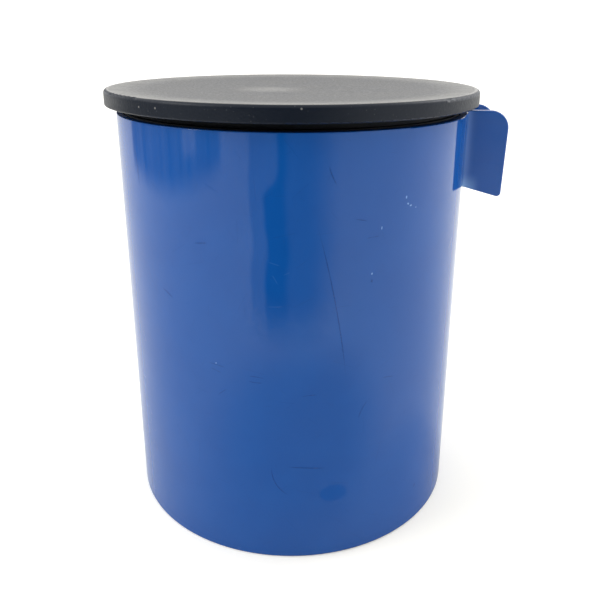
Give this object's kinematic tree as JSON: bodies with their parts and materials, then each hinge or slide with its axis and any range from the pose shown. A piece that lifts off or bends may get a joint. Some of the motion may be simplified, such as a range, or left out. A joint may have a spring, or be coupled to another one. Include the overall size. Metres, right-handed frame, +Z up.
{
  "type": "storage canister",
  "caption": "Straight cylindrical plastic storage canister with two upright grip wings at the rim and an overhanging plug lid with a soft seal.",
  "frame": {"origin": "centre of the foot ring, on the surface that the canister stands on", "axes": "+Z up along the barrel's axis; +X towards the two grip wings, which stand either side of the XZ plane"},
  "size_m": [0.1597, 0.1484, 0.1739],
  "materials": {
    "body_plastic": "polished moulded blue plastic",
    "lid_plastic": "fine spark-textured near-black plastic",
    "plug_plastic": "smooth satin black plastic",
    "seal_rubber": "soft black rubber"
  },
  "bodies": {
    "canister": {"body": "body_plastic"},
    "lid": {"lid_cap": "lid_plastic", "lid_plug": "plug_plastic", "seal_ring": "seal_rubber"}
  },
  "joints": [
    {"name": "lid_lift", "type": "slide", "parent": "canister", "child": "lid", "axis": [0, 0, 1], "range_m": [0, 0.06]}
  ]
}
